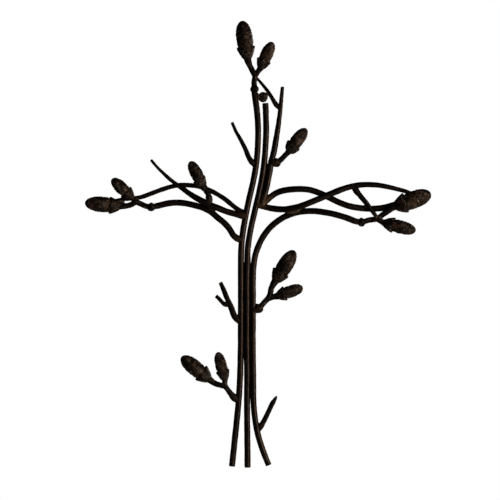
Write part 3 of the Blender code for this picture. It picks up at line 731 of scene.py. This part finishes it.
diagonal_width = 0.0037
past_boss = np.array([0.815, 0.0, 0.579]) * (BOSS_RADIUS + GAP + diagonal_width / 2)
diagonal = bar([upper.at_height(-11.5), *places([(12.9, -7.6), (9.5, -2.2)]),
                place(0.0, 0.0) + past_boss, place(-0.9, 12.5), place(-8.0, 20.6)],
               [(0, WAVE), (0.48, diagonal_width), (1, 0.0025)])
strut = bar([low.at_width(90.5), *places([
    (93.4, -94.6, 0.38), (97.0, -99.0, 0.34), (104.0, -107.4, 0.25), (114.0, -121.0)])],
    [(0, 0.0054), (0.3, 0.0053), (1, 0.0035)])
sprig = bar([left.at_height(-69.5), *places([
    (-12.6, -63.5), (-18.0, -51.8), (-24.4, -39.6), (-30.2, -27.8), (-31.0, -25.4)])],
    [(0, 0.005), (0.2, 0.005), (1, 0.0027)])
thorn = bar([right.at_height(-334.5), *places([(1.1, -323.6), (8.5, -308.2), (13.8, -299.2)])],
            [(0, 0.0047), (0.82, 0.0047), (0.94, 0.0029), (1, 0.0010)])
fork_main = bar([left.at_height(-225.5), *places([
    (-28.6, -219.2), (-31.8, -211.5), (-37.0, -199.2), (-40.2, -191.2), (-42.8, -185.5)])],
    [(0, ROD), (0.25, ROD), (0.7, 0.0050), (1, 0.0038)])
fork_side = bar([fork_main.at_height(-208.2), *places([
    (-39.0, -206.9), (-43.6, -202.4), (-47.3, -199.1)])], [(0, 0.0038), (1, 0.0036)])

forged("left_stem", left, 11)
forged("middle_stem", middle, 12)
forged("right_stem_arm", right, 13)
forged("right_upper_stem", upper.welded_to(low, 0.0003, metal=1.0), 14)
forged("left_arm", arm.welded_to(left, 0.0004), 15)
forged("left_wave", wave.welded_to(left, 0.0003), 16, uneven=0.00011, fine=0.00003)
forged("left_twig", twig.welded_to(left, 0.0003), 17, uneven=0.00012, fine=0.00003)
forged("right_wave_high", high.welded_to(upper, 0.0, metal=0.8), 18)
forged("right_wave_low", low.welded_to(middle, 0.0, metal=0.8), 19)
forged("right_strut", strut.welded_to(low, 0.0004, metal=0.1), 20, TWIG_BRONZE, **TWIG_SKIN)
forged("top_diagonal_twig", diagonal.welded_to(upper, 0.0002, metal=0.1), 21, TWIG_BRONZE, **TWIG_SKIN)
forged("top_left_twig", sprig.welded_to(left, 0.0003), 22, TWIG_BRONZE, **TWIG_SKIN)
forged("lower_right_thorn", thorn.welded_to(right, 0.0006), 23, TWIG_BRONZE,
       uneven=0.00010, fine=0.00003)
piece("lower_left_twig_forged", [
    (swept(fork_main.welded_to(left, 0.0003), 24, **TWIG_SKIN), TWIG_BRONZE),
    (swept(fork_side.welded_to(fork_main, 0.0005, 0.0022), 25, uneven=0.0001, bark=0.00004),
     TWIG_BRONZE)], ["lower_left_twig"])


# The castings

SLENDERNESS = 0.43
INTO_CUP = 0.12
INTO_KNOT = 0.0005


def stalk(controls, neck):
    """A cast stalk that thickens to the neck of the cup it carries."""
    return bar(controls, [(0, STALK), (0.5, STALK), (0.85, neck), (1, neck)])


def branch(name, stem, fork, twigs, seed, neck=STALK_END, bluntness=0.72):
    """A casting: a stem, and a stalk with a catkin for each twig.

    Each twig is the route of its stalk from the fork, the base and the tip of its catkin, its
    plumpness, and the height and spread of the right and the left scale of its cup. neck is the
    diameter of the stalks under the cups, bluntness the power by which the cups widen.
    """
    skins = [(swept(stem, seed, **CAST_SKIN), STEM_BRONZE)]
    for number, (route, foot, top, plumpness, ears) in enumerate(twigs):
        base, tip = place(*foot), place(*top)
        start = seed + 10 * number
        line = stalk([fork, *places(route), base, base + (tip - base) * INTO_CUP], neck)
        widest = np.linalg.norm(tip - base) * SLENDERNESS * plumpness / 2
        skins += [
            (swept(line, start + 1, **CAST_SKIN), STEM_BRONZE),
            (cup(base, tip, widest, ears, bluntness, start + 4), CAST_BRONZE),
            (bud(base, tip, widest, start + 6), FURRY_BRONZE)]
    piece(f"{name}_cast", skins, [name])


def carried_on(path):
    """A point on a bar's line, a little before its end, so that the joint has no gap."""
    along = unit(path.points[-1] - path.points[-2])
    return path.points[-1] - along * INTO_KNOT


LEVEL = ((0.315, 1.24), (0.315, 1.24))
stem_taper = [(0, ROD), (0.5, CAST_STEM), (1, CAST_STEM)]
fork = place(-8.0, 21.0)
stem = bar([carried_on(left), *places([(-8.6, 7.3), (-8.9, 14.5)]), fork], stem_taper)
branch("top_branch", stem.swollen(place(-8.6, 7.6), KNOT / 2, KNOT_REACH), fork, [
    ([(-12.4, 29.5)], (-15.5, 37.6), (-21.1, 75.8, 0.3), 1.0, ((0.33, 1.18), (0.34, 1.20))),
    ([(-5.3, 25.3)], (-2.6, 29.0), (9.4, 54.4, 0.5), 1.03, LEVEL)], 100)

fork = place(-127.3, -104.9)
stem = bar([carried_on(arm), *places([(-111.9, -110.1), (-118.8, -108.6)]), fork], stem_taper)
branch("left_arm_branch", stem.swollen(place(-111.9, -110.0), KNOT / 2, KNOT_REACH), fork, [
    ([(-131.0, -107.4), (-137.0, -109.2)], (-143.1, -109.1), (-178.0, -106.2, 0.4), 1.02,
     ((0.315, 1.13), (0.315, 1.24))),
    ([(-129.5, -102.4)], (-131.4, -100.8, 0.1), (-150.9, -82.2, 0.6), 1.06, LEVEL)], 150)

fork = place(114.1, -122.2)
stem = bar([carried_on(right), *places([(98.4, -125.2), (106.2, -123.4)]), fork], stem_taper)
branch("right_arm_branch", stem.swollen(place(98.4, -125.2), KNOT / 2, KNOT_REACH), fork, [
    ([(118.8, -118.4), (124.6, -114.4)], (131.6, -109.8), (167.8, -96.8, 0.3), 1.06,
     ((0.315, 1.24), (0.325, 1.22))),
    ([(117.6, -124.2)], (121.1, -126.0), (152.4, -134.2, 0.5), 0.95, LEVEL)], 200)

low_foot = 0.93 * FOOT
foot_taper = [(0, low_foot), (0.32, low_foot), (0.52, CAST_STEM), (1, CAST_STEM)]
fork = place(4.8, -202.2)
stem = bar([right.at_height(-213.0), *places([(-5.0, -211.6), (-0.4, -207.2)]), fork], foot_taper)
stem = stem.swollen(place(-3.9, -211.9), 0.0044, 0.0034)
branch("lower_right_branch", stem.welded_to(right, 0.0005), fork, [
    ([(7.2, -196.6), (8.4, -191.6)], (12.1, -184.4), (31.4, -153.8, 0.4), 1.0, LEVEL),
    ([(9.8, -200.2)], (14.6, -199.0), (39.8, -190.5, 0.2), 1.08, LEVEL)], 250)

fork = place(-38.0, -289.4)
stem = bar([left.at_height(-304.5), *places([(-27.8, -301.8), (-33.2, -295.7)]), fork],
           [(0, ROD), (0.6, CAST_STEM), (1, CAST_STEM)])
branch("lower_left_branch", stem.welded_to(left, 0.0008), fork, [
    ([(-44.9, -287.9), (-50.0, -285.6)], (-53.8, -282.8), (-81.6, -259.9, 0.4), 1.0, LEVEL),
    ([(-38.3, -285.5)], (-38.4, -282.0), (-45.4, -255.2, 0.2), 0.98, LEVEL)], 300)

stem = bar([upper.at_height(-65.5), *places([(12.6, -65.7), (17.2, -64.8)])],
           [(0, FOOT), (0.7, FOOT), (1, STALK)])
branch("upper_right_catkin", stem.welded_to(upper, 0.0003), place(14.4, -65.4), [
    ([(17.8, -62.9), (20.8, -59.8)], (25.6, -54.8), (43.2, -31.9, 0.3), 1.05, LEVEL)],
    350, neck=0.0052, bluntness=0.50)

stem = bar([twig.at_height(-107.2), *places([(-53.9, -103.6, 0.82), (-54.9, -98.8, 0.82)])],
           [(0, 0.0066), (0.75, 0.0064), (1, STALK)])
branch("left_twig_catkin", stem.welded_to(twig, 0.0001), place(-54.3, -101.2, 0.82), [
    ([(-55.9, -95.0, 0.82)], (-59.6, -90.1, 0.8), (-73.0, -64.8, 0.6), 1.0,
     ((0.34, 1.10), (0.31, 1.20)))], 380)


# The boss and the weld beads

SOCKET_RADIUS = 0.0032
SOCKET_DEPTH = 0.0062
CHAMFER = 0.0004
EDGE = 0.0003
DOME = 0.0014
front = STAND_OFF + ROD / 2
dome = [(BOSS_RADIUS * math.sin(t), front - DOME * (1 - math.cos(t)))
        for t in np.linspace(math.pi / 2, 0.12, 9)]
piece("hanging_boss_turned", [(turned([
    (SOCKET_RADIUS / 2, SOCKET_DEPTH), (SOCKET_RADIUS, SOCKET_DEPTH), (SOCKET_RADIUS, CHAMFER),
    (SOCKET_RADIUS + EDGE, 0.0), (BOSS_RADIUS - EDGE, 0.0), (BOSS_RADIUS, CHAMFER),
    (BOSS_RADIUS, 0.004), (BOSS_RADIUS, 0.008), (BOSS_RADIUS, 0.0112), *dome], 31), CAST_BRONZE)],
    ["hanging_boss"])


def seam(one, other, way, size, seed):
    """A long bead between two bars, set back from their axes towards the wall."""
    set_back = 0.0017
    return bead((one + other) / 2 + TOWARDS_WALL * set_back, way, size, seed), DRAWN_BRONZE


# Single beads: the place, the way they run, and the length, breadth and depth
BEADS = [
    ((-5.1, 0.4, 0.1), (0.1, 0, 1), (6.4, 2.0, 4.6)),
    ((4.4, 2.8, 0.1), (-0.6, 0, 1), (4.6, 1.8, 4.2)),
    ((30.6, -114.2, 0.30), (1, 0, 0.18), (17.0, 5.8, 5.4)),
    ((0.4, -104.0, 0.15), (0.3, 0, 1), (12.0, 3.4, 4.6)),
    ((64.3, -98.9, 0.1), (1, 0, -0.2), (7.0, 4.4, 4.4)),
    ((112.8, -119.6, 0.2), (0.7, 0, -1), (6.0, 4.0, 4.4)),
    ((103.5, -109.3, -0.3), (1, 0, 0.1), (6.0, 3.6, 4.4)),
    ((134.5, -106.5, -0.5), (1, 0, 0.5), (8.0, 4.6, 4.6)),
    ((150.0, -98.2, 0.1), (1, 0, -0.4), (7.0, 4.0, 4.0)),
    ((-127.6, -102.8, -0.5), (1, 0, 0.2), (7.0, 4.2, 5.0)),
    ((-144.8, -105.3, -0.5), (1, 0, 0.1), (12.0, 4.8, 4.6)),
    ((-139.0, -108.0, 0.0), (1, 0, -0.1), (9.0, 3.2, 4.2)),
    ((-135.6, -102.2, -0.7), (1, 0, 0.1), (12.0, 3.7, 4.2)),
    ((-77.5, -92.9, 0.1), (-1, 0, 0.7), (7.0, 4.0, 4.4)),
    ((-51.0, -112.5, 0.2), (-1, 0, 0.4), (8.0, 4.0, 4.4)),
    ((-57.5, -94.6, 0.1), (0, 0, 1), (5.0, 4.0, 4.4)),
    ((-7.8, 18.6, 0.1), (-0.3, 0, 1), (6.0, 4.0, 4.6))]
UPRIGHT_SEAM = (12.0, 3.6, 2.6)
TOP_SEAM = (13.0, 3.8, 2.6)
skins = [(bead(place(*spot), way, size, 400 + 3 * number), DRAWN_BRONZE)
         for number, (spot, way, size) in enumerate(BEADS)]
for number, z in enumerate((-172.0, -196.0, -222.0, -248.0)):
    low_z = z - 9.0
    skins.append(seam(left.at_height(z), middle.at_height(z),
                      (0, 0, 1), UPRIGHT_SEAM, 460 + 2 * number))
    skins.append(seam(middle.at_height(low_z), right.at_height(low_z),
                      (0, 0, 1), UPRIGHT_SEAM, 480 + 2 * number))
for number, z in enumerate((-73.0, -82.0, -91.0)):
    skins.append(seam(middle.at_height(z), upper.at_height(z + 1.4),
                      (0.22, 0, 1), TOP_SEAM, 500 + 2 * number))
piece("weld_beads", skins, [])


# Stage, light and camera

VIEW_MIDDLE = (-0.0131, -0.1532)
VIEW_DISTANCE = 1.875
AIM = (VIEW_MIDDLE[0], 0.0, VIEW_MIDDLE[1])
FLOOR_REACH = 0.6
FLOOR_LEVEL = -0.52
WHITE = (1.0, 1.0, 1.0, 1.0)


def softbox(name, spot, size, watts, colour=(1.0, 1.0, 1.0)):
    """A rectangular light at a spot, turned to the middle of the view."""
    lamp = bpy.data.lights.new(name, "AREA")
    lamp.shape = "RECTANGLE"
    lamp.size, lamp.size_y = size
    lamp.energy = watts
    lamp.color = colour
    made = bpy.data.objects.new(name, lamp)
    made.location = spot
    right_by, back_by, up_by = np.array(spot) - np.array(AIM)
    level = math.hypot(right_by, back_by)
    made.rotation_euler = (math.atan2(level, up_by), 0.0, math.atan2(right_by, -back_by))
    bpy.context.scene.collection.objects.link(made)


bpy.context.scene.view_settings.view_transform = "Standard"
softbox("key_light", (1.15, -1.05, -0.18), (0.40, 0.26), 17.6, (1.0, 0.94, 0.87))
softbox("fill_light", (-0.5, -1.75, -0.17), (0.5, 0.30), 0.9, (0.97, 0.98, 1.0))
softbox("back_light", (0.9, 1.6, -0.1), (0.8, 0.8), 18.0)

# A white ground for the camera, and little light from it on the metal
world = bpy.data.worlds.new("white_room")
bpy.context.scene.world = world
world.use_nodes = True
nodes = world.node_tree.nodes
seen = nodes["Background"]
seen.inputs["Color"].default_value = WHITE
seen.inputs["Strength"].default_value = 1.0
dim = nodes.new("ShaderNodeBackground")
dim.inputs["Color"].default_value = WHITE
dim.inputs["Strength"].default_value = 0.006
choice = nodes.new("ShaderNodeMixShader")
ray = nodes.new("ShaderNodeLightPath")
link = world.node_tree.links.new
link(ray.outputs["Is Camera Ray"], choice.inputs["Fac"])
link(dim.outputs["Background"], choice.inputs[1])
link(seen.outputs["Background"], choice.inputs[2])
link(choice.outputs["Shader"], nodes["World Output"].inputs["Surface"])

floor_mesh = bpy.data.meshes.new("pale_floor")
floor_mesh.from_pydata([(side * FLOOR_REACH, depth * FLOOR_REACH, FLOOR_LEVEL)
                        for side, depth in ((-1, -1), (1, -1), (1, 1), (-1, 1))],
                       [], [(0, 1, 2, 3)])
pale = bpy.data.materials.new("pale_floor")
pale.use_nodes = True
matt = pale.node_tree.nodes["Principled BSDF"]
matt.inputs["Base Color"].default_value = (0.85, 0.85, 0.85, 1.0)
matt.inputs["Roughness"].default_value = 0.9
matt.inputs["Emission Color"].default_value = WHITE
seen_floor = pale.node_tree.nodes.new("ShaderNodeLightPath")
glow = math_node(pale.node_tree, "MULTIPLY", seen_floor.outputs["Is Camera Ray"], 0.55)
pale.node_tree.links.new(glow, matt.inputs["Emission Strength"])
floor_mesh.materials.append(pale)
floor = bpy.data.objects.new("pale_floor", floor_mesh)
bpy.context.scene.collection.objects.link(floor)

view = bpy.data.cameras.new("front_view")
view.lens = 135.0
view.sensor_width = 36.0
camera = bpy.data.objects.new("front_view", view)
camera.location = (VIEW_MIDDLE[0], -STAND_OFF - VIEW_DISTANCE, VIEW_MIDDLE[1])
camera.rotation_euler = (math.pi / 2, 0.0, 0.0)
bpy.context.scene.collection.objects.link(camera)
bpy.context.scene.camera = camera
